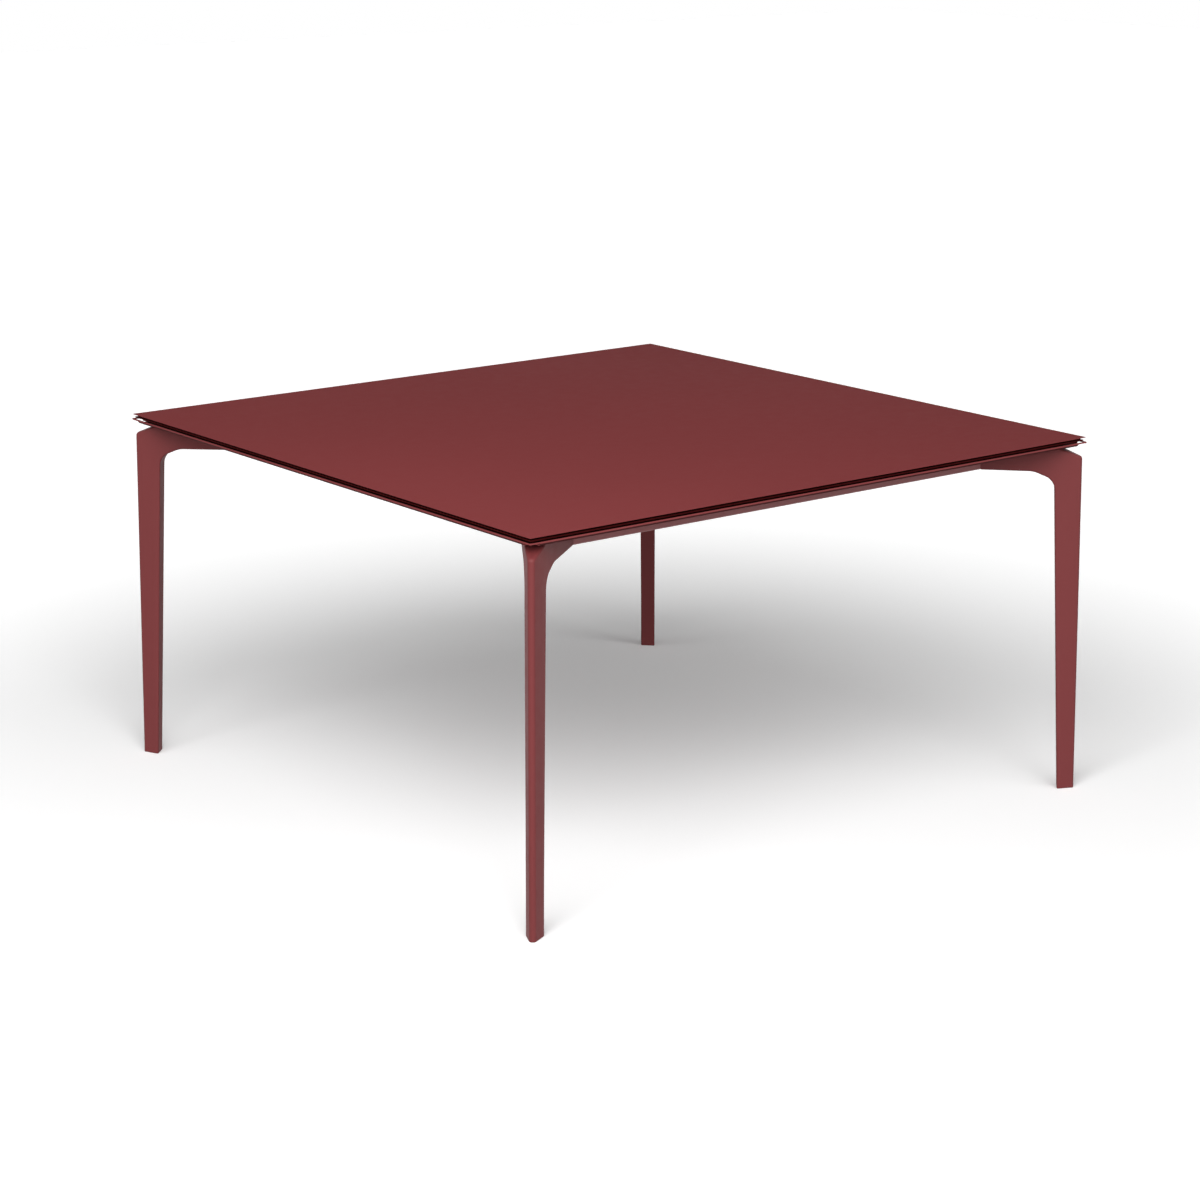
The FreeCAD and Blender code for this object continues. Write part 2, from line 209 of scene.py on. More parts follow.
class TableFittingSizes(bpy.types.PropertyGroup):
    """Sizes of bolts, screws, brackets, cross bars and levelling feet."""

    bolt_radius: length("Bolt radius", "Radius of the leg bolts' shanks", 0.003)
    bolt_head_radius: length("Bolt head radius", "Radius of the leg bolts' heads", 0.005)
    bolt_head: length("Bolt head", "Height of the leg bolts' heads", 0.006)
    bolt_grip: length("Bolt grip", "How far the leg bolts run into the leg", 0.009)
    bolt_play: length("Bolt play", "How far the bolt holes run past the bolts' ends", 0.0015)
    bolt_pitch: length("Bolt pitch", "Distance between the two bolts of a pair", 0.018)
    bolt_from_corner: length("Bolt place", "Distance of the bolts from the rails' outer corner", 0.046)
    washer_radius: length("Washer radius", "Outer radius of the washers", 0.0065)
    washer_thickness: length("Washer thickness", "Thickness of the washers", 0.0016)
    washer_play: length("Washer play", "Gap between a washer's hole and its bolt", 0.00025)
    washer_edge: length("Washer edge", "Bevel of the washers' edges", 0.0003)
    screw_radius: length("Screw radius", "Radius of the screws' shanks", 0.002)
    screw_head_radius: length("Screw head radius", "Radius of the screws' heads", 0.00375)
    screw_head: length("Screw head", "Height of the screws' heads", 0.0026)
    screw_length: length("Screw length", "Length of the bracket screws' shanks", 0.0105)
    bracket_thickness: length("Bracket thickness", "Thickness of the brackets", 0.003)
    bracket_corner: length("Bracket corner", "Radius of the brackets' corners", 0.004)
    bracket_bend: length("Bracket bend", "Inner radius of the brackets' bend", 0.001)
    bar_edge: length("Bar edge", "Radius of the cross bars' edges", 0.003)
    pad_radius: length("Pad radius", "Radius of the levelling pads", 0.008)
    pad_height: length("Pad height", "Height of the levelling pads", 0.004)
    pad_play: length("Pad play", "Gap between a levelling pad and its recess in the leg", 0.0005)
    stud_radius: length("Stud radius", "Radius of the levelling feet's studs", 0.004)
    stud_length: length("Stud length", "Length of the levelling feet's studs", 0.0195)
    thread_pitch: length("Thread pitch", "Pitch of the studs' thread", 0.00125)
    socket_depth: length("Socket depth", "Depth of the hole for the stud and its insert", 0.025)
    insert_wall: length("Insert wall", "Wall of the threaded insert round a stud", 0.002)


class TableFinishes(bpy.types.PropertyGroup):
    """Colours of the finishes."""

    red_top: colour("Red top", "Matt face of the top sheet", (0.168, 0.0345, 0.0355))
    red_coat: colour("Red coat", "Powder coat on legs and cross bars", (0.132, 0.0239, 0.0249))
    red_edge: colour("Red edge", "Coat on the folded edge", (0.205, 0.045, 0.046))
    # The rails' red is lighter than the legs' coat: painted light on the rails under the top
    red_rail: colour("Red rails", "Coat on the rails", (0.190, 0.036, 0.037))
    dark_core: colour("Core", "Edge of the top's core", (0.010, 0.001, 0.001))
    # The backer's very dark red is painted shade of the gap under the top sheet
    backer: colour("Backer", "Sheet under the core", (0.044, 0.004, 0.004))
    rubber: colour("Rubber", "Strips and pads between frame and top", (0.018, 0.018, 0.019))
    aluminium: colour("Aluminium", "Corner keys and brackets", (0.60, 0.60, 0.61))
    steel: colour("Steel", "Zinc plated bolts, screws, washers and inserts", (0.52, 0.53, 0.54))
    plastic: colour("Foot plastic", "Pads of the levelling feet", (0.022, 0.022, 0.024))


class TableStage(bpy.types.PropertyGroup):
    """The studio: floor, light and camera."""

    floor: amount("Floor", "How pale the floor looks", 0.92)
    floor_bounce: amount("Floor bounce", "Share of the light that the floor throws back at the table", 0.5)
    floor_lift: amount("Floor lift", "White seen on the floor near the table, which lights nothing", 0.11)
    far_lift: amount("Far lift", "White seen on the floor far from the table, which lights nothing", 0.40)
    lift_start: length("Lift start", "Distance from the table's middle where the floor grows whiter", 1.1)
    lift_end: length("Lift end", "Distance from the table's middle where the floor is white", 2.7)
    sky: amount("Sky", "Strength of the even light from all round", 0.08)
    key_strength: amount("Key strength", "Strength of the large soft lamp behind the camera", 1.9)
    key_height: angle("Key height", "How high the large lamp stands above the floor", 34.0)
    key_turn: angle("Key direction", "Where the large lamp stands, turned from +X", 226.0)
    left_strength: amount("Left strength", "Strength of the soft lamp to the left of the large one", 0.65)
    right_strength: amount("Right strength", "Strength of the soft lamp to the right of the large one", 1.3)
    side_height: angle("Side height", "How high the side lamps stand above the floor", 29.0)
    side_turn: angle("Side direction", "How far the side lamps stand from the large one", 44.0)
    lamp_spread: angle("Lamp spread", "How wide the far lamps are, seen from the table", 64.0)
    near_power: amount("Near lamp", "Power of the square lamp in front of the table, in watts", 60.0)
    near_size: length("Near lamp size", "Side of the square lamp in front of the table", 2.0)
    near_place: point("Near lamp place", "Where the square lamp stands", (-2.1, -2.0, 2.5))
    lens: millimetres("Lens", "Focal length in millimetres", 85.0)
    sensor: millimetres("Sensor", "Width of the camera's picture plane in millimetres", 36.0)
    camera_place: point("Camera place", "Where the camera stands", (-3.5267, -4.5140, 1.9061))
    camera_tilt: angle("Camera tilt", "How far the camera is raised from looking straight down", 75.0)
    camera_turn: angle("Camera direction", "How far the camera is turned from looking along +Y", -38.0)


def add_node(tree, kind, **inputs):
    """A shader node whose named inputs are set. Spaces in an input's name are written as underscores."""
    node = tree.nodes.new("ShaderNode" + kind)
    for name, value in inputs.items():
        node.inputs[name.replace("_", " ")].default_value = value
    return node


def combine(tree, operation, *values):
    """What a math node makes of values from other nodes."""
    node = add_node(tree, "Math")
    node.operation = operation
    for value, socket in zip(values, node.inputs):
        tree.links.new(value, socket)
    return node.outputs["Value"]


def spread_value(tree, value, low, high, start=0.0, end=1.0):
    """Spreads a value that runs from start to end over low to high."""
    node = add_node(tree, "MapRange", From_Min=start, From_Max=end, To_Min=low, To_Max=high)
    tree.links.new(value, node.inputs["Value"])
    return node.outputs["Result"]


def surface_grain_group():
    """Clouding, gloss variation and fine relief that every finish uses at its own scale."""
    name = "surface_grain"
    if name in bpy.data.node_groups:
        return bpy.data.node_groups[name]
    tree = bpy.data.node_groups.new(name, "ShaderNodeTree")
    face = tree.interface
    face.new_socket("Vector", in_out="INPUT", socket_type="NodeSocketVector")
    for socket in GRAIN_SCALES:
        face.new_socket(socket, in_out="INPUT", socket_type="NodeSocketFloat")
    for socket in ("Cloud", "Gloss", "Speck", "Height"):
        face.new_socket(socket, in_out="OUTPUT", socket_type="NodeSocketFloat")
    start = tree.nodes.new("NodeGroupInput")
    end = tree.nodes.new("NodeGroupOutput")
    waves = {}
    for output, scale, detail in zip(("Cloud", "Gloss", "Speck"), GRAIN_SCALES, (3, 4, 2)):
        noise = add_node(tree, "TexNoise", Detail=detail, Roughness=0.55)
        tree.links.new(start.outputs["Vector"], noise.inputs["Vector"])
        tree.links.new(start.outputs[scale], noise.inputs["Scale"])
        tree.links.new(noise.outputs["Fac"], end.inputs[output])
        waves[output] = noise.outputs["Fac"]
    pebbles = tree.nodes.new("ShaderNodeTexVoronoi")
    pebbles.feature = "SMOOTH_F1"
    tree.links.new(start.outputs["Vector"], pebbles.inputs["Vector"])
    tree.links.new(start.outputs["Grain Scale"], pebbles.inputs["Scale"])
    relief = combine(tree, "ADD", waves["Speck"], pebbles.outputs["Distance"])
    tree.links.new(relief, end.inputs["Height"])
    return tree


def finish(name, setting, rough, specular, scales, clouding=0.04, speckle=0.04, metallic=0.0,
           stretch=(1, 1, 1), bump=0.05, painted_shade_tone=1.0):
    """A finish in one of the set colours, whose colour, gloss and relief vary over the surface.

    The roughness runs between the two values of rough. The scales are those of clouding, gloss and grain.
    Faces that look up or down get painted shade: their colour is multiplied by the tone given for it.
    """
    if name in bpy.data.materials:
        return bpy.data.materials[name]
    tint = tuple(getattr(bpy.context.scene.table_finishes, setting))
    material = bpy.data.materials.new(name)
    material.use_nodes = True
    material.diffuse_color = (*tint, 1)
    tree = material.node_tree
    shader = tree.nodes["Principled BSDF"]
    place = tree.nodes.new("ShaderNodeTexCoord")
    mapping = add_node(tree, "Mapping", Scale=stretch)
    tree.links.new(place.outputs["Object"], mapping.inputs["Vector"])
    grain = tree.nodes.new("ShaderNodeGroup")
    grain.node_tree = surface_grain_group()
    tree.links.new(mapping.outputs["Vector"], grain.inputs["Vector"])
    for socket, scale in zip(GRAIN_SCALES, scales):
        grain.inputs[socket].default_value = scale
    cloud = spread_value(tree, grain.outputs["Cloud"], 1 - clouding, 1 + clouding)
    speck = spread_value(tree, grain.outputs["Speck"], 1 - speckle, 1 + speckle)
    mottle = combine(tree, "MULTIPLY", cloud, speck)
    # Painted shade: faces whose normal points up or down are darkened by the tone given for them
    facing = add_node(tree, "SeparateXYZ")
    tree.links.new(place.outputs["Normal"], facing.inputs["Vector"])
    lie = combine(tree, "ABSOLUTE", facing.outputs["Z"])
    level = spread_value(tree, lie, 1.0, painted_shade_tone, PAINTED_SHADE_START, PAINTED_SHADE_END)
    tone = tree.nodes.new("ShaderNodeVectorMath")
    tone.operation = "SCALE"
    tone.inputs[0].default_value = tint
    tree.links.new(combine(tree, "MULTIPLY", mottle, level), tone.inputs["Scale"])
    tree.links.new(tone.outputs["Vector"], shader.inputs["Base Color"])
    tree.links.new(spread_value(tree, grain.outputs["Gloss"], *rough), shader.inputs["Roughness"])
    relief = add_node(tree, "Bump", Strength=bump, Distance=GRAIN_HEIGHT)
    tree.links.new(grain.outputs["Height"], relief.inputs["Height"])
    tree.links.new(relief.outputs["Normal"], shader.inputs["Normal"])
    shader.inputs["Metallic"].default_value = metallic
    shader.inputs["Specular IOR Level"].default_value = specular
    return material


def red_top():
    """Matt face of the top sheet: even red that hardly shines."""
    return finish("red_matt_sheet", "red_top", rough=(0.6, 0.75), specular=0.008,
                  scales=(1.6, 40.0, 700.0), bump=0.06)


def red_coat():
    """Satin powder coat on legs and cross bars: even red, fine orange peel, some shine."""
    return finish("red_powder_coat", "red_coat", rough=(0.5, 0.64), specular=0.22, scales=COAT_SCALES)


def red_edge():
    """The folded edges' own coat: dull, with painted shade that darkens the fold under the lip and the web.
    """
    # The strong tone on faces that look up or down is painted shade
    return finish("red_dull_edge", "red_edge", rough=(0.6, 0.75), specular=0.04, scales=COAT_SCALES,
                  painted_shade_tone=0.28)


def red_rail():
    """The rails' own coat: smoother, so that they mirror some of the floor, and lighter than the legs' coat,
    which paints light onto the rails.
    """
    return finish("red_satin_rail", "red_rail", rough=(0.36, 0.5), specular=0.6, scales=COAT_SCALES)


def dark_core():
    """Cut edge of the core: nearly black, rough and in thin layers."""
    return finish("core_board", "dark_core", rough=(0.75, 0.95), specular=0.02,
                  scales=(9.0, 80.0, 1500.0), clouding=0.2, speckle=0.25, stretch=(1, 1, 6), bump=0.3)


def red_backer():
    """Sheet under the core: dull, and very dark red, which paints the deep shade in the gap under the top
    sheet.
    """
    return finish("backer_sheet", "backer", rough=(0.6, 0.8), specular=0.03,
                  scales=(4.0, 60.0, 900.0), clouding=0.1, speckle=0.1, bump=0.12)


def strip_rubber():
    """Black rubber of strips and pads, with a strong grain."""
    return finish("grained_rubber", "rubber", rough=(0.7, 0.92), specular=0.35,
                  scales=(12.0, 120.0, 1600.0), clouding=0.15, speckle=0.2, bump=0.35)


def plain_aluminium():
    """Bare aluminium of keys and brackets, with fine streaks."""
    return finish("mill_aluminium", "aluminium", rough=(0.3, 0.48), specular=0.5, metallic=1.0,
                  scales=(8.0, 160.0, 700.0), clouding=0.06, speckle=0.08, stretch=(1, 9, 1), bump=0.12)


def fastener_steel():
    """Zinc plated steel of bolts, screws, washers and inserts."""
    return finish("zinc_steel", "steel", rough=(0.24, 0.42), specular=0.5, metallic=1.0,
                  scales=(90.0, 300.0, 2400.0), clouding=0.1, speckle=0.12, bump=0.08)


def foot_plastic():
    """Moulded black plastic of the levelling pads, with a fine grain."""
    return finish("moulded_plastic", "plastic", rough=(0.42, 0.62), specular=0.5,
                  scales=(40.0, 300.0, 2600.0), clouding=0.1, speckle=0.15, bump=0.25)


def dress(obj, material):
    """Gives an object one finish all over."""
    obj.data.materials.clear()
    obj.data.materials.append(material)


def dress_nodes(material, *nodes):
    """Gives carried-over solids a finish."""
    for node in nodes:
        dress(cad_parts[node], material)


def mesh_of(name, bm):
    """A mesh made from a bmesh, which is used up."""
    mesh = bpy.data.meshes.new(name)
    bm.to_mesh(mesh)
    bm.free()
    return mesh


def linked_object(name, data):
    """An object in the scene that holds a mesh, a lamp or a camera."""
    obj = bpy.data.objects.new(name, data)
    bpy.context.scene.collection.objects.link(obj)
    return obj


def new_object(name, mesh, material, nodes, body="table", degrees=SMOOTH_ANGLE):
    """Makes a finished piece from a mesh, in place of the solids it stands for."""
    obj = linked_object(name, mesh)
    dress(obj, material)
    mesh.shade_smooth()
    mesh.set_sharp_from_angle(angle=math.radians(degrees))
    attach(obj, body)
    if nodes:
        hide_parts(*nodes)
    return obj


def new_piece(name, bm, material, nodes, body="table", degrees=SMOOTH_ANGLE):
    """Makes a finished piece from a bmesh, in place of the solids it stands for."""
    return new_object(name, mesh_of(name, bm), material, nodes, body, degrees)


def settle(obj):
    """Applies an object's modifiers to its mesh and takes the mesh off it."""
    depsgraph = bpy.context.evaluated_depsgraph_get()
    mesh = bpy.data.meshes.new_from_object(obj.evaluated_get(depsgraph))
    bpy.data.objects.remove(obj)
    return mesh


def loose_object(name, bm):
    """A passing object for modifiers to work on."""
    return linked_object(name, mesh_of(name, bm))


def turned(bm, degrees):
    """Turns a bmesh about the table's upright axis."""
    turn = Matrix.Rotation(math.radians(degrees), 3, "Z")
    bmesh.ops.rotate(bm, verts=bm.verts, cent=(0, 0, 0), matrix=turn)
    return bm


def round_edges(bm, edges, offset, segments, affect="EDGES"):
    """Rounds edges."""
    bmesh.ops.bevel(
        bm, geom=edges, offset=offset, offset_type="OFFSET", segments=segments, profile=0.5, affect=affect,
        material=-1,
    )


def round_corners(bm, verts, offset, segments):
    """Rounds corners of a flat sheet."""
    round_edges(bm, verts, offset, segments, affect="VERTICES")


def close_up(bm):
    """Merges doubles, fills what is open and points the faces outwards."""
    bmesh.ops.remove_doubles(bm, verts=bm.verts, dist=SAME_PLACE)
    bmesh.ops.holes_fill(bm, edges=[e for e in bm.edges if e.is_boundary], sides=0)
    bmesh.ops.recalc_face_normals(bm, faces=bm.faces)


def cut(bm, place, outwards, clear_outer=False):
    """Cuts a bmesh along a plane and, where asked, takes away what lies outside it."""
    everything = bm.verts[:] + bm.edges[:] + bm.faces[:]
    bmesh.ops.bisect_plane(
        bm, geom=everything, dist=CUT_TOLERANCE, plane_co=place, plane_no=outwards, clear_outer=clear_outer
    )


def mitre(bm):
    """Cuts a side's bar to the quarter of the plan that belongs to the side at +X."""
    for sign in (1, -1):
        cut(bm, (0, 0, 0), (-1, sign, 0), clear_outer=True)
    close_up(bm)


def chain(bm, points):
    """A run of edges through points."""
    verts = [bm.verts.new(p) for p in points]
    return [bm.edges.new(pair) for pair in zip(verts[:-1], verts[1:])]


def swept(bm, edges, step):
    """Faces swept from edges along a straight step."""
    made = bmesh.ops.extrude_edge_only(bm, edges=edges)
    verts = [v for v in made["geom"] if isinstance(v, bmesh.types.BMVert)]
    bmesh.ops.translate(bm, verts=verts, vec=step)


def spun(bm, points, steps, rise=0.0):
    """Spins points, given as radius and height, once round the upright axis. A rise makes it a screw."""
    edges = chain(bm, [(radius, 0, z) for radius, z in points])
    verts = list({v for e in edges for v in e.verts})
    bmesh.ops.spin(
        bm, geom=verts + edges, cent=(0, 0, 0), axis=(0, 0, 1), dvec=(0, 0, rise / steps),
        angle=2 * math.pi, steps=steps, use_merge=rise == 0,
    )
    bmesh.ops.remove_doubles(bm, verts=bm.verts, dist=CUT_TOLERANCE)


def lying_along(bm, axis):
    """Edges that run along one axis."""
    found = []
    for edge in bm.edges:
        run = edge.verts[1].co - edge.verts[0].co
        if run.length > CUT_TOLERANCE and abs(run[axis]) > PARALLEL * run.length:
            found.append(edge)
    return found


def round_folds(bm, offset, segments):
    """Rounds the folds along Y in a sheet and points its faces to one side."""
    folds = [e for e in lying_along(bm, 1) if not e.is_boundary]
    round_edges(bm, folds, offset, segments)
    bmesh.ops.recalc_face_normals(bm, faces=bm.faces)


def thicken(bm, thickness, looks):
    """Gives a sheet its thickness, with its largest face first made to look up (1) or down (-1)."""
    largest = max(bm.faces, key=lambda face: face.calc_area())
    if largest.normal.z * looks < 0:
        bmesh.ops.reverse_faces(bm, faces=bm.faces)
    bmesh.ops.solidify(bm, geom=bm.faces[:], thickness=thickness)


def block(bm, low, high):
    """A box between two corners."""
    made = bmesh.ops.create_cube(bm, size=1)
    size = Vector(high) - Vector(low)
    bmesh.ops.scale(bm, verts=made["verts"], vec=size)
    bmesh.ops.translate(bm, verts=made["verts"], vec=(Vector(high) + Vector(low)) / 2)


def make_top_sheet():
    """The top sheet, with its corners and upper edge rounded."""
    sizes = bpy.context.scene.table_top_sizes
    low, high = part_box("top_skin")
    bm = bmesh.new()
    block(bm, low, high)
    round_edges(bm, lying_along(bm, 2), sizes.skin_corner, segments=8)
    halfway = (low.z + high.z) / 2
    upper = [e for e in bm.edges if min(v.co.z for v in e.verts) > halfway]
    round_edges(bm, upper, sizes.skin_edge, segments=3)
    lower = [e for e in bm.edges if max(v.co.z for v in e.verts) < low.z + SAME_PLACE]
    round_edges(bm, lower, sizes.skin_edge / 2, segments=2)
    new_piece("top_sheet", bm, red_top(), ["top_skin"])


def folded_edge():
    """The folded edge of the side at +X: lip, slanted fold and web, mitred at its ends."""
    sizes = bpy.context.scene.table_top_sizes
    lip_bottom = LIP_TOP - sizes.lip_height
    inner = HALF - sizes.bevel_width
    outline = [(HALF, LIP_TOP), (HALF, lip_bottom), (inner, WEB_BOTTOM), (RAIL_IN, WEB_BOTTOM)]
    bm = bmesh.new()
    edges = chain(bm, [(x, -HALF, z) for x, z in outline])
    swept(bm, edges, (0, 2 * HALF, 0))
    fold = sizes.fold_radius * math.tan(FOLD_ANGLE / 2)
    round_folds(bm, fold, segments=4)
    margin = fold / 8
    for sign in (1, -1):
        fold_stop = (0, sign * (HALF - sizes.fold_relief), 0)
        relieve(bm, HALF, lip_bottom + margin, fold_stop, (0, sign, 0))
        corner = (HALF, sign * (HALF - sizes.relief_leg), 0)
        relieve(bm, inner - fold, WEB_BOTTOM + margin, corner, (1, sign, 0))
    thicken(bm, sizes.sheet, looks=-1)
    mitre(bm)
    return bm


def relieve(bm, within, below, place, outwards):
    """Cuts off the lower faces past a plane, as far out as a given distance from the table's middle."""
    place = Vector(place)
    outwards = Vector(outwards).normalized()

    def low_faces():
        """Faces inside both limits, with their centres."""
        centres = [(face, face.calc_center_median()) for face in bm.faces]
        return [(face, centre) for face, centre in centres if centre.z < below and centre.x < within]

    geom = set()
    for face, centre in low_faces():
        geom.update([face], face.edges, face.verts)
    bmesh.ops.bisect_plane(bm, geom=list(geom), dist=CUT_TOLERANCE, plane_co=place, plane_no=outwards)
    past = [face for face, centre in low_faces() if (centre - place).dot(outwards) > 0]
    bmesh.ops.delete(bm, geom=past, context="FACES")


def make_folded_edges():
    """The folded edges of the four sides."""
    for k, side in enumerate(SIDES):
        bm = turned(folded_edge(), 90 * k)
        new_piece("folded_edge_" + side, bm, red_edge(), ["edge_tray_" + side])


def rail_tube():
    """The rail of the side at +X, mitred at its ends."""
    sizes = bpy.context.scene.table_top_sizes
    bm = bmesh.new()
    block(bm, (RAIL_IN, -RAIL_OUT, RAIL_BOTTOM), (RAIL_OUT, RAIL_OUT, WEB_BOTTOM))
    lower = [e for e in lying_along(bm, 1) if e.verts[0].co.z < RAIL_MIDDLE]
    round_edges(bm, lower, sizes.rail_edge, segments=6)
    upper = [e for e in lying_along(bm, 1) if min(v.co.z for v in e.verts) > WEB_BOTTOM - SAME_PLACE]
    round_edges(bm, upper, sizes.rail_upper_edge, segments=3)
    mitre(bm)
    return bm


def make_rails():
    """The rails of the four sides."""
    for k, side in enumerate(SIDES):
        bm = turned(rail_tube(), 90 * k)
        new_piece("rail_tube_" + side, bm, red_rail(), ["rail_" + side])


class Wedge:
    """The leg's plan at a height: u runs out along the table's diagonal, v across it."""

    def __init__(self, z):
        sizes = bpy.context.scene.table_leg_sizes
        corner = HALF * math.sqrt(2)
        share = z / (WEB_BOTTOM - sizes.neck_drop)
        depth = sizes.foot_depth + (sizes.neck_depth - sizes.foot_depth) * share
        width = sizes.foot_width + (sizes.neck_width - sizes.foot_width) * share
        self.nose = corner + sizes.foot_overhang - (sizes.foot_overhang + sizes.neck_setback) * share
        self.heel = self.nose - depth
        nose_centre = self.nose - sizes.nose_radius
        run = self.heel + sizes.heel_radius - nose_centre
        rise = width / 2 - sizes.heel_radius
        span = math.hypot(run, rise)
        turn = math.atan2(rise, run) - math.acos((sizes.nose_radius - sizes.heel_radius) / span)
        self.normal = (math.cos(turn), math.sin(turn))
        self.reach = nose_centre * self.normal[0] + sizes.nose_radius
        self.bend = self.heel + sizes.foot_bend + (sizes.neck_bend - sizes.foot_bend) * share
        self.cheek = RAIL_OUT * math.sqrt(2) - sizes.arm_cheek
        self.flare = (sizes.arm_cheek - self.side(self.bend)) / (self.bend - self.cheek)

    def side(self, u):
        """Half the width on the line from the nose to the bend."""
        return (self.reach - u * self.normal[0]) / self.normal[1]

    def half_width(self, u):
        """Half the width at a distance along the diagonal."""
        if u >= self.bend:
            return self.side(u)
        return self.side(self.bend) + self.flare * (self.bend - u)


def crossing(p, q, r, s):
    """Where the line through p and q meets the line through r and s."""
    a = (q[0] - p[0], q[1] - p[1])
    b = (s[0] - r[0], s[1] - r[1])
    t = ((r[0] - p[0]) * b[1] - (r[1] - p[1]) * b[0]) / (a[0] * b[1] - a[1] * b[0])
    return (p[0] + t * a[0], p[1] + t * a[1])


class LegProfile:
    """The leg's outline in the plane of the table's diagonal, and how round its corners are."""

    def __init__(self):
        sizes = bpy.context.scene.table_leg_sizes
        neck_z = WEB_BOTTOM - sizes.neck_drop
        foot = Wedge(LEG_BOTTOM)
        neck = Wedge(neck_z)
        slope = math.tan(sizes.shoulder_angle)
        shoulder_z = WEB_BOTTOM - sizes.shoulder_drop
        heel_line = ((foot.heel, LEG_BOTTOM), (neck.heel, neck_z))
        self.saddle = RAIL_OUT * math.sqrt(2)
        cheek = self.saddle - sizes.arm_cheek
        knee = sizes.knee_angle
        knee_end = (
            neck.heel - sizes.knee_radius * (1 - math.sin(knee)),
            neck_z + sizes.knee_radius * math.cos(knee),
        )
        ease = neck.heel - sizes.knee_run
        self.ease_point = (ease, knee_end[1] + (knee_end[0] - ease) * math.tan(knee))
        rise = (RAIL_BOTTOM - self.ease_point[1]) / (ease - cheek)
        self.slope = ((neck.nose, shoulder_z), (neck.nose - sizes.shoulder_drop / slope, WEB_BOTTOM))
        self.knee_point = crossing(*heel_line, knee_end, self.ease_point)
        self.knee_offset = math.dist(self.knee_point, knee_end)
        self.outline = [
            (foot.heel, LEG_BOTTOM),
            (foot.nose, LEG_BOTTOM),
            (Wedge(WEB_BOTTOM).nose, WEB_BOTTOM),
            (self.saddle, WEB_BOTTOM),
            (self.saddle, RAIL_BOTTOM - rise * sizes.arm_cheek),
            self.ease_point,
            self.knee_point,
        ]


def leg_half():
    """Half the leg, from the plane of the diagonal outwards."""
    sizes = bpy.context.scene.table_leg_sizes
    profile = LegProfile()
    bm = bmesh.new()
    bm.faces.new([bm.verts.new((u, 0, z)) for u, z in profile.outline])
    rounding = [(profile.knee_point, profile.knee_offset, 12), (profile.ease_point, sizes.ease_soft, 4)]
    for place, offset, segments in rounding:
        corner = min(bm.verts, key=lambda v: math.dist((v.co.x, v.co.z), place))
        round_corners(bm, [corner], offset, segments)
    low = Wedge(LEG_BOTTOM)
    high = Wedge(WEB_BOTTOM)
    cut(bm, (low.bend, 0, LEG_BOTTOM), (WEB_BOTTOM - LEG_BOTTOM, 0, low.bend - high.bend))
    for k in range(1, int(WEB_BOTTOM / LEG_STRETCH)):
        cut(bm, (0, 0, LEG_STRETCH * k), (0, 0, 1))
    spread = bmesh.ops.extrude_face_region(bm, geom=bm.faces[:])
    for vert in spread["geom"]:
        if isinstance(vert, bmesh.types.BMVert):
            widen(vert, profile)
    middle_faces = [f for f in bm.faces if all(abs(v.co.y) < CUT_TOLERANCE for v in f.verts)]
    bmesh.ops.delete(bm, geom=middle_faces, context="FACES")
    return bm


def widen(vert, profile):
    """Moves a vertex of the profile out to the leg's side, or along the saddle's slanted face."""
    sizes = bpy.context.scene.table_leg_sizes
    u, z = vert.co.x, vert.co.z
    if abs(u - profile.saddle) < SAME_PLACE:
        vert.co.x = profile.saddle - sizes.arm_cheek
        vert.co.y = sizes.arm_cheek
        if z < WEB_BOTTOM - SAME_PLACE:
            vert.co.z = RAIL_BOTTOM
    else:
        vert.co.y = Wedge(z).half_width(u)


def mark_leg_edges(bm):
    """Writes how far each edge of the leg is rounded, as a share of the widest rounding."""
    sizes = bpy.context.scene.table_leg_sizes
    neck = Wedge(WEB_BOTTOM - sizes.neck_drop)
    heel_angle = (math.pi / 2 + math.atan(neck.flare)) / 2
    heel = sizes.heel_radius / math.tan(heel_angle)
    levels = [Wedge(z) for z in (LEG_BOTTOM, WEB_BOTTOM)]
    nose = NOSE_SHARE * min(level.side(level.nose) for level in levels)
    layer = bm.edges.layers.float.new("bevel_weight_edge")
    for edge in bm.edges:
        ends = [v.co for v in edge.verts]
        centre = (ends[0] + ends[1]) / 2
        if len(edge.link_faces) != 2 or edge.calc_face_angle(0) < FLAT_EDGE:
            continue
        if max(end.z for end in ends) < LEG_BOTTOM + SAME_PLACE:
            edge[layer] = sizes.foot_edge / WIDEST_ROUNDING
            continue
        on_diagonal = min(abs(end.y) for end in ends) < SAME_PLACE or centre.y * ends[0].y < 0
        across = abs(ends[0].y + ends[1].y) < SAME_PLACE
        on_top = min(end.z for end in ends) > WEB_BOTTOM - SAME_PLACE
        on_saddle = centre.x < neck.cheek + SADDLE_MARGIN
        if on_diagonal or across or on_top or on_saddle:
            continue
        rounding = nose if centre.x > Wedge(centre.z).bend else heel
        edge[layer] = rounding / WIDEST_ROUNDING


def bolt_levels():
    """Heights of the two bolts of a pair."""
    pitch = bpy.context.scene.table_fitting_sizes.bolt_pitch
    return [RAIL_MIDDLE + pitch / 2, RAIL_MIDDLE - pitch / 2]


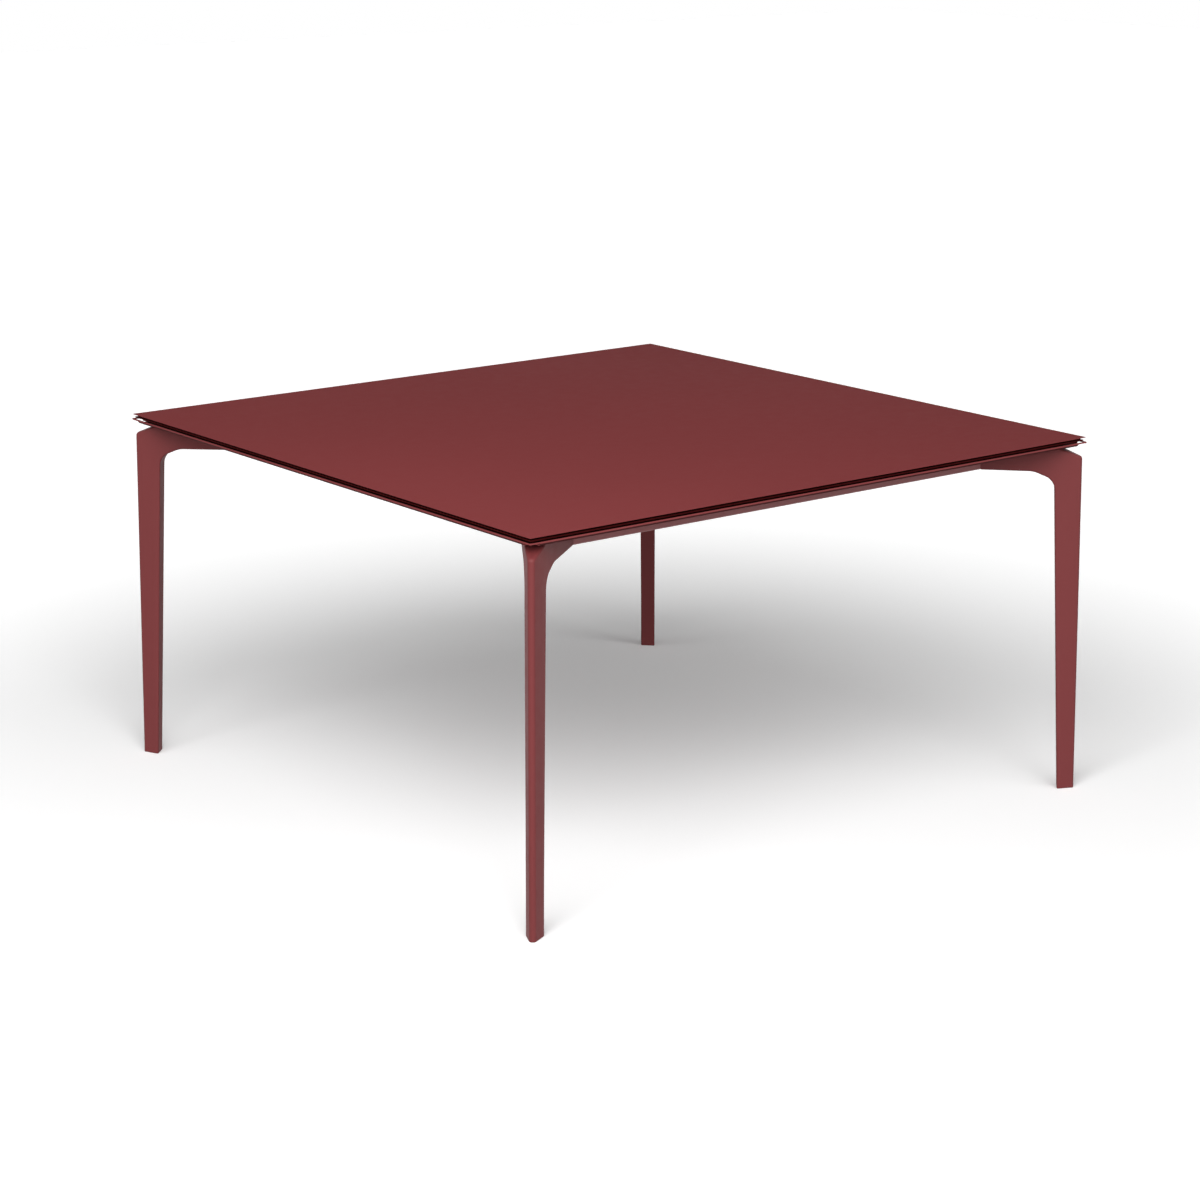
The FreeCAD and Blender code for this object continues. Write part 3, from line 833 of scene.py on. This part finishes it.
def leg_holes():
    """What is cut from a leg: the pad's recess, the stud's socket and the bolt holes."""
    sizes = bpy.context.scene.table_fitting_sizes
    pad = sizes.pad_radius + sizes.pad_play
    socket = sizes.stud_radius + sizes.insert_wall
    outline = [
        (0, -HOLE_OVERRUN), (pad, -HOLE_OVERRUN), (pad, sizes.pad_height), (socket, sizes.pad_height),
        (socket, sizes.socket_depth), (0, sizes.socket_depth),
    ]
    bm = bmesh.new()
    spun(bm, outline, steps=32)
    bmesh.ops.translate(bm, verts=bm.verts, vec=(FOOT_PLACE, FOOT_PLACE, 0))
    reach = RAIL_OUT + sizes.bolt_grip + sizes.bolt_play
    for axis, turned_about in ((0, "Y"), (1, "X")):
        for z in bolt_levels():
            made = bmesh.ops.create_cone(
                bm, cap_ends=True, segments=16, radius1=sizes.bolt_radius, radius2=sizes.bolt_radius,
                depth=reach - RAIL_IN,
            )
            turn = Matrix.Rotation(math.pi / 2, 3, turned_about)
            bmesh.ops.rotate(bm, verts=made["verts"], matrix=turn)
            spot = [RAIL_OUT - sizes.bolt_from_corner] * 2 + [z]
            spot[axis] = (reach + RAIL_IN) / 2
            bmesh.ops.translate(bm, verts=made["verts"], vec=spot)
    bmesh.ops.remove_doubles(bm, verts=bm.verts, dist=SAME_PLACE)
    bmesh.ops.recalc_face_normals(bm, faces=bm.faces)
    return turned(bm, -45)


def cut_shoulder(mesh):
    """Cuts the shoulder's slope from a rounded leg and softens its edge."""
    sizes = bpy.context.scene.table_leg_sizes
    profile = LegProfile()
    bm = bmesh.new()
    bm.from_mesh(mesh)
    bpy.data.meshes.remove(mesh)
    (u, z), (end_u, end_z) = profile.slope
    place = Vector((u, 0, z))
    outwards = Vector((end_z - z, 0, u - end_u)).normalized()
    cut(bm, place, outwards, clear_outer=True)
    close_up(bm)
    rims = []
    for edge in bm.edges:
        ends = [v.co for v in edge.verts]
        on_cut = all(abs((end - place).dot(outwards)) < SAME_PLACE for end in ends)
        if on_cut and min(end.z for end in ends) < WEB_BOTTOM - SAME_PLACE:
            rims.append(edge)
    round_edges(bm, rims, sizes.shoulder_soft, segments=4)
    return bm


def leg_mesh():
    """One leg along the diagonal at +u: mirrored, rounded and drilled."""
    bm = leg_half()
    everything = bm.verts[:] + bm.edges[:] + bm.faces[:]
    bmesh.ops.mirror(bm, geom=everything, matrix=Matrix.Identity(4), merge_dist=SAME_PLACE, axis="Y")
    bmesh.ops.remove_doubles(bm, verts=bm.verts, dist=SAME_PLACE)
    bmesh.ops.recalc_face_normals(bm, faces=bm.faces)
    mark_leg_edges(bm)
    obj = loose_object("leg_blank", bm)
    bevel = obj.modifiers.new("Rounded edges", "BEVEL")
    bevel.limit_method = "WEIGHT"
    bevel.width = WIDEST_ROUNDING
    bevel.segments = 5
    bevel.profile = 0.5
    bevel.use_clamp_overlap = False
    obj = loose_object("leg_body", cut_shoulder(settle(obj)))
    holes = loose_object("leg_holes", leg_holes())
    drill = obj.modifiers.new("Holes", "BOOLEAN")
    drill.operation = "DIFFERENCE"
    drill.solver = "EXACT"
    drill.object = holes
    mesh = settle(obj)
    bpy.data.objects.remove(holes)
    return mesh


def make_legs():
    """The legs of the four corners, each turned from one leg along the diagonal."""
    blank = leg_mesh()
    for k, corner in enumerate(CORNERS):
        mesh = blank.copy()
        mesh.transform(Matrix.Rotation(math.radians(45 + 90 * k), 4, "Z"))
        obj = new_object("coated_leg_" + corner, mesh, red_coat(), ["leg_" + corner])
        obj.modifiers.new("Flat faces", "WEIGHTED_NORMAL").keep_sharp = True
    bpy.data.meshes.remove(blank)


def socket_fastener(shank_radius, shank, head_radius, head):
    """A bolt or screw with a hexagon socket. Its head sits on z = 0 and its shank hangs down."""
    tip = shank_radius / 4
    edge = head_radius / 8
    rim = 0.72 * head_radius
    socket_radius = 0.56 * head_radius
    socket_depth = 0.55 * head
    bm = bmesh.new()
    outline = [
        (0, -shank), (shank_radius - tip, -shank), (shank_radius, tip - shank), (shank_radius, 0),
        (head_radius - edge / 2, 0), (head_radius, edge / 2), (head_radius, head - edge),
        (head_radius - edge / 3, head - edge / 3), (head_radius - edge, head), (rim, head),
    ]
    spun(bm, outline, steps=24)
    rim_edges = [e for e in bm.edges if e.is_boundary]
    lift = Matrix.Translation((0, 0, head))
    made = bmesh.ops.create_circle(bm, segments=6, radius=socket_radius, matrix=lift)
    hexagon = [e for e in bm.edges if all(v in made["verts"] for v in e.verts)]
    bmesh.ops.bridge_loops(bm, edges=rim_edges + hexagon)
    swept(bm, hexagon, (0, 0, -socket_depth))
    close_up(bm)
    return mesh_of("fastener", bm)


def washer_mesh():
    """A flat washer that lies on z = 0, with its rims eased."""
    sizes = bpy.context.scene.table_fitting_sizes
    hole = sizes.bolt_radius + sizes.washer_play
    rim = sizes.washer_radius
    edge = sizes.washer_edge
    top = sizes.washer_thickness
    bm = bmesh.new()
    outline = [
        (hole, 0), (rim - edge, 0), (rim, edge), (rim, top - edge),
        (rim - edge, top), (hole + edge, top), (hole, top - edge), (hole, 0),
    ]
    spun(bm, outline, steps=32)
    close_up(bm)
    return mesh_of("washer", bm)


def stamp(bm, mesh, place, direction):
    """Adds a copy of a fastener whose shank points along direction."""
    turn = Vector((0, 0, -1)).rotation_difference(Vector(direction)).to_matrix().to_4x4()
    before = len(bm.verts)
    bm.from_mesh(mesh)
    bm.verts.ensure_lookup_table()
    bmesh.ops.transform(bm, matrix=Matrix.Translation(place) @ turn, verts=bm.verts[before:])


def fastener_set(name, mesh, places, node):
    """One piece with a copy of a fastener at each place, which comes with the shank's direction."""
    bm = bmesh.new()
    for place, direction in places:
        stamp(bm, mesh, place, direction)
    new_piece(name, bm, fastener_steel(), [node])
    bpy.data.meshes.remove(mesh)


def bolt_places(set_back):
    """Where each leg bolt goes in on the rails' inner faces, with its direction."""
    sizes = bpy.context.scene.table_fitting_sizes
    places = []
    for k in range(4):
        turn = Matrix.Rotation(math.radians(90 * k), 3, "Z")
        for sign in (1, -1):
            for z in bolt_levels():
                spot = Vector((RAIL_IN - set_back, sign * (RAIL_OUT - sizes.bolt_from_corner), z))
                places.append((turn @ spot, turn @ Vector((1, 0, 0))))
    return places


def make_leg_bolts():
    """The leg bolts and their washers."""
    sizes = bpy.context.scene.table_fitting_sizes
    shank = RAIL_OUT - RAIL_IN + sizes.washer_thickness + sizes.bolt_grip
    bolt = socket_fastener(sizes.bolt_radius, shank, sizes.bolt_head_radius, sizes.bolt_head)
    fastener_set("leg_bolt_set", bolt, bolt_places(sizes.washer_thickness), "leg_bolts")
    fastener_set("leg_washer_set", washer_mesh(), bolt_places(0), "leg_washers")


def make_bracket_screws():
    """The screws that hold each bracket to its rail and to its cross bar."""
    sizes = bpy.context.scene.table_fitting_sizes
    screw = socket_fastener(sizes.screw_radius, sizes.screw_length, sizes.screw_head_radius, sizes.screw_head)
    rail_x = RAIL_IN - sizes.bracket_thickness
    rail_z = (BRACKET_LOW.z + BAR_BOTTOM) / 2
    bar_x = RAIL_IN - 2 * (BRACKET_HIGH.x - BRACKET_LOW.x) / 3
    bar_z = BAR_BOTTOM - sizes.bracket_thickness
    places = []
    for end in (1, -1):
        for bar in BARS.values():
            places.append(((end * rail_x, bar * BAR_Y, rail_z), (end, 0, 0)))
            places.append(((end * bar_x, bar * BAR_Y, bar_z), (0, 0, 1)))
    fastener_set("bracket_screw_set", screw, places, "bracket_screws")


def folded_bracket():
    """The bracket at the right end of the back bar: a folded angle with rounded corners."""
    sizes = bpy.context.scene.table_fitting_sizes
    low, high = BRACKET_LOW, BRACKET_HIGH
    bm = bmesh.new()
    edges = chain(bm, [(low.x, low.y, high.z), (high.x, low.y, high.z), (high.x, low.y, low.z)])
    swept(bm, edges, (0, high.y - low.y, 0))
    free = [v for v in bm.verts if len(v.link_faces) == 1]
    round_corners(bm, free, sizes.bracket_corner, segments=5)
    round_folds(bm, sizes.bracket_thickness + sizes.bracket_bend, segments=6)
    thicken(bm, sizes.bracket_thickness, looks=1)
    return bm


def make_brackets():
    """The brackets under both ends of the cross bars."""
    for bar, sign in BARS.items():
        for end, degrees in BAR_ENDS.items():
            bm = folded_bracket()
            bmesh.ops.translate(bm, verts=bm.verts, vec=(0, -BAR_Y, 0))
            turned(bm, degrees)
            bmesh.ops.translate(bm, verts=bm.verts, vec=(0, sign * BAR_Y, 0))
            close_up(bm)
            node = "bar_bracket_" + bar + "_" + end
            new_piece("folded_" + node, bm, plain_aluminium(), [node])


def make_cross_bars():
    """The two cross bars, with their long edges rounded."""
    sizes = bpy.context.scene.table_fitting_sizes
    for bar in BARS:
        low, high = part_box("cross_bar_" + bar)
        bm = bmesh.new()
        block(bm, low, high)
        round_edges(bm, lying_along(bm, 0), sizes.bar_edge, segments=5)
        new_piece("rounded_bar_" + bar, bm, red_coat(), ["cross_bar_" + bar])


def foot_pad():
    """A levelling pad: rounded underside, a grip groove round it and a sloped top."""
    sizes = bpy.context.scene.table_fitting_sizes
    r, top = sizes.pad_radius, sizes.pad_height
    soft = 0.0006
    halfway = 0.3 * soft
    groove_low, groove_high = 0.0017, 0.0028
    groove_depth = 0.0005
    groove_slant = 0.0002
    shoulder = 0.0033
    ease = 0.0003
    slope = 0.0026
    bm = bmesh.new()
    outline = [
        (0, 0), (r - soft, 0), (r - halfway, halfway), (r, soft),
        (r, groove_low), (r - groove_depth, groove_low + groove_slant),
        (r - groove_depth, groove_high - groove_slant), (r, groove_high),
        (r, shoulder), (r - ease, shoulder + ease), (r - slope, top), (0, top),
    ]
    spun(bm, outline, steps=40)
    close_up(bm)
    return bm


def foot_stud():
    """The threaded stud of a levelling foot."""
    sizes = bpy.context.scene.table_fitting_sizes
    pitch = sizes.thread_pitch
    crest = sizes.stud_radius
    root = crest - 0.55 * pitch
    crest_start, crest_end = 0.42, 0.58
    start = sizes.pad_height - pitch / 2
    turns = int((sizes.stud_length - pitch / 2) / pitch)
    points = []
    for k in range(turns):
        points.append((root, start + k * pitch))
        points.append((crest, start + (k + crest_start) * pitch))
        points.append((crest, start + (k + crest_end) * pitch))
    points.append((root, start + turns * pitch))
    bm = bmesh.new()
    spun(bm, points, steps=24, rise=pitch)
    close_up(bm)
    return bm


def make_levelling_feet():
    """The pad and the stud of each levelling foot."""
    for corner in CORNERS:
        node = "levelling_foot_" + corner
        body = "foot_" + corner
        centre = middle(node)
        centre.z = 0
        pad = foot_pad()
        bmesh.ops.translate(pad, verts=pad.verts, vec=centre)
        new_piece("foot_pad_" + corner, pad, foot_plastic(), [node], body)
        stud = foot_stud()
        bmesh.ops.translate(stud, verts=stud.verts, vec=centre)
        new_piece("foot_stud_" + corner, stud, fastener_steel(), [], body, THREAD_ANGLE)


def finish_hidden_pieces():
    """Finishes for the solids that are right as they are, most of them hidden."""
    dress_nodes(dark_core(), "top_core")
    dress_nodes(red_backer(), "top_backer")
    dress_nodes(strip_rubber(), *["spacer_strip_" + side for side in SIDES])
    dress_nodes(strip_rubber(), *["bar_pad_" + bar for bar in BARS])
    dress_nodes(plain_aluminium(), *["corner_key_" + corner for corner in CORNERS])
    dress_nodes(fastener_steel(), "foot_inserts", "tray_screws")


def seen_directly(tree):
    """1 for camera, mirror and see-through rays, 0 for the rays that carry light."""
    path = tree.nodes.new("ShaderNodeLightPath")
    total = path.outputs["Is Camera Ray"]
    for name in ("Is Glossy Ray", "Is Transmission Ray"):
        total = combine(tree, "ADD", total, path.outputs[name])
        total.node.use_clamp = True
    return total


def make_world():
    """White all round where it is seen, and a weak even light."""
    stage = bpy.context.scene.table_stage
    world = bpy.data.worlds.new("white_studio")
    world.use_nodes = True
    tree = world.node_tree
    background = tree.nodes["Background"]
    background.inputs["Color"].default_value = WHITE
    strength = spread_value(tree, seen_directly(tree), stage.sky, 1.0)
    tree.links.new(strength, background.inputs["Strength"])
    bpy.context.scene.world = world


def make_floor():
    """A wide floor that keeps the table's shadow and grows white away from it."""
    stage = bpy.context.scene.table_stage
    bm = bmesh.new()
    bmesh.ops.create_grid(bm, x_segments=4, y_segments=4, size=FLOOR_REACH)
    floor = linked_object("studio_floor", mesh_of("studio_floor", bm))
    material = bpy.data.materials.new("floor_white")
    material.use_nodes = True
    tree = material.node_tree
    shader = tree.nodes["Principled BSDF"]
    seen = seen_directly(tree)
    tone = spread_value(tree, seen, stage.floor_bounce, stage.floor)
    tree.links.new(tone, shader.inputs["Base Color"])
    shader.inputs["Roughness"].default_value = 0.9
    shader.inputs["Specular IOR Level"].default_value = 0.0
    shader.inputs["Emission Color"].default_value = WHITE
    place = tree.nodes.new("ShaderNodeTexCoord")
    away = tree.nodes.new("ShaderNodeVectorMath")
    away.operation = "LENGTH"
    tree.links.new(place.outputs["Object"], away.inputs[0])
    distance = away.outputs["Value"]
    lift = spread_value(
        tree, distance, stage.floor_lift, stage.far_lift, start=stage.lift_start, end=stage.lift_end
    )
    lift.node.interpolation_type = "SMOOTHSTEP"
    tree.links.new(combine(tree, "MULTIPLY", lift, seen), shader.inputs["Emission Strength"])
    dress(floor, material)


def add_lamp(name, kind, energy, place, target):
    """A lamp that stands at one place and points at another."""
    lamp = bpy.data.lights.new(name, kind)
    lamp.energy = energy
    obj = linked_object(name, lamp)
    obj.location = place
    backwards = Vector(place) - Vector(target)
    obj.rotation_euler = backwards.to_track_quat("Z", "Y").to_euler()
    return lamp


def make_far_lamp(name, strength, height, turn):
    """A large soft lamp that lights the whole floor evenly, as from far away."""
    level = math.cos(height)
    towards = Vector((level * math.cos(turn), level * math.sin(turn), math.sin(height)))
    lamp = add_lamp(name, "SUN", strength, LAMP_DISTANCE * towards, (0, 0, 0))
    lamp.angle = bpy.context.scene.table_stage.lamp_spread


def make_near_lamp():
    """A square lamp in front of the table, which makes the near corner a little brighter than the rest."""
    stage = bpy.context.scene.table_stage
    near_corner = (-HALF, -HALF, CAD_BOX[1][2])
    lamp = add_lamp("near_lamp", "AREA", stage.near_power, stage.near_place, near_corner)
    lamp.size = stage.near_size


def make_stage():
    """The floor, the lamps and the camera."""
    stage = bpy.context.scene.table_stage
    make_world()
    make_floor()
    make_far_lamp("key_lamp", stage.key_strength, stage.key_height, stage.key_turn)
    make_far_lamp("left_lamp", stage.left_strength, stage.side_height, stage.key_turn - stage.side_turn)
    make_far_lamp("right_lamp", stage.right_strength, stage.side_height, stage.key_turn + stage.side_turn)
    make_near_lamp()
    camera = bpy.data.cameras.new("photo_camera")
    camera.lens = stage.lens
    camera.sensor_width = stage.sensor
    obj = linked_object("photo_camera", camera)
    obj.location = stage.camera_place
    obj.rotation_euler = (stage.camera_tilt, 0, stage.camera_turn)
    bpy.context.scene.camera = obj
    bpy.context.scene.view_settings.view_transform = "Standard"


class DINING_TABLE_OT_top_sheet(bpy.types.Operator):
    """Makes the top sheet"""

    bl_idname = "dining_table.top_sheet"
    bl_label = "Top sheet"

    def execute(self, context):
        make_top_sheet()
        return {"FINISHED"}


class DINING_TABLE_OT_folded_edges(bpy.types.Operator):
    """Makes the four folded edges under the top"""

    bl_idname = "dining_table.folded_edges"
    bl_label = "Folded edges"

    def execute(self, context):
        make_folded_edges()
        return {"FINISHED"}


class DINING_TABLE_OT_rails(bpy.types.Operator):
    """Makes the four rails"""

    bl_idname = "dining_table.rails"
    bl_label = "Rails"

    def execute(self, context):
        make_rails()
        return {"FINISHED"}


class DINING_TABLE_OT_legs(bpy.types.Operator):
    """Makes the four legs with their arms"""

    bl_idname = "dining_table.legs"
    bl_label = "Legs"

    def execute(self, context):
        make_legs()
        return {"FINISHED"}


class DINING_TABLE_OT_cross_bars(bpy.types.Operator):
    """Makes the cross bars and the brackets that hold them"""

    bl_idname = "dining_table.cross_bars"
    bl_label = "Cross bars and brackets"

    def execute(self, context):
        make_cross_bars()
        make_brackets()
        return {"FINISHED"}


class DINING_TABLE_OT_fasteners(bpy.types.Operator):
    """Makes the leg bolts, their washers and the bracket screws"""

    bl_idname = "dining_table.fasteners"
    bl_label = "Bolts, washers and screws"

    def execute(self, context):
        make_leg_bolts()
        make_bracket_screws()
        return {"FINISHED"}


class DINING_TABLE_OT_levelling_feet(bpy.types.Operator):
    """Makes the levelling feet's pads and studs"""

    bl_idname = "dining_table.levelling_feet"
    bl_label = "Levelling feet"

    def execute(self, context):
        make_levelling_feet()
        return {"FINISHED"}


class DINING_TABLE_OT_hidden_pieces(bpy.types.Operator):
    """Finishes the core, backer, strips, keys and inserts"""

    bl_idname = "dining_table.hidden_pieces"
    bl_label = "Core, strips, keys and inserts"

    def execute(self, context):
        finish_hidden_pieces()
        return {"FINISHED"}


class DINING_TABLE_OT_stage(bpy.types.Operator):
    """Makes the floor, the light and the camera"""

    bl_idname = "dining_table.stage"
    bl_label = "Studio"

    def execute(self, context):
        make_stage()
        return {"FINISHED"}


STEPS = [
    DINING_TABLE_OT_top_sheet, DINING_TABLE_OT_folded_edges, DINING_TABLE_OT_rails, DINING_TABLE_OT_legs,
    DINING_TABLE_OT_cross_bars, DINING_TABLE_OT_fasteners, DINING_TABLE_OT_levelling_feet,
    DINING_TABLE_OT_hidden_pieces, DINING_TABLE_OT_stage,
]
SETTINGS = {
    "table_top_sizes": TableTopSizes,
    "table_leg_sizes": TableLegSizes,
    "table_fitting_sizes": TableFittingSizes,
    "table_finishes": TableFinishes,
    "table_stage": TableStage,
}


class DINING_TABLE_PT_panel(bpy.types.Panel):
    """Lists the table's steps and settings"""

    bl_idname = "DINING_TABLE_PT_panel"
    bl_label = "Dining table"
    bl_space_type = "VIEW_3D"
    bl_region_type = "UI"
    bl_category = "Table"

    def draw(self, context):
        for step in STEPS:
            self.layout.operator(step.bl_idname)
        for name, group in SETTINGS.items():
            box = self.layout.box()
            for setting in group.__annotations__:
                box.prop(getattr(context.scene, name), setting)


def register():
    """Registers the settings, the steps and the panel."""
    for name, group in SETTINGS.items():
        bpy.utils.register_class(group)
        setattr(bpy.types.Scene, name, PointerProperty(type=group))
    for step in STEPS:
        bpy.utils.register_class(step)
    bpy.utils.register_class(DINING_TABLE_PT_panel)


def unregister():
    """Takes back what register does."""
    bpy.utils.unregister_class(DINING_TABLE_PT_panel)
    for step in reversed(STEPS):
        bpy.utils.unregister_class(step)
    for name, group in SETTINGS.items():
        delattr(bpy.types.Scene, name)
        bpy.utils.unregister_class(group)


def main():
    """Makes the table and its studio."""
    register()
    bpy.ops.dining_table.top_sheet()
    bpy.ops.dining_table.folded_edges()
    bpy.ops.dining_table.rails()
    bpy.ops.dining_table.legs()
    bpy.ops.dining_table.cross_bars()
    bpy.ops.dining_table.fasteners()
    bpy.ops.dining_table.levelling_feet()
    bpy.ops.dining_table.hidden_pieces()
    bpy.ops.dining_table.stage()


if __name__ == "__main__":
    main()
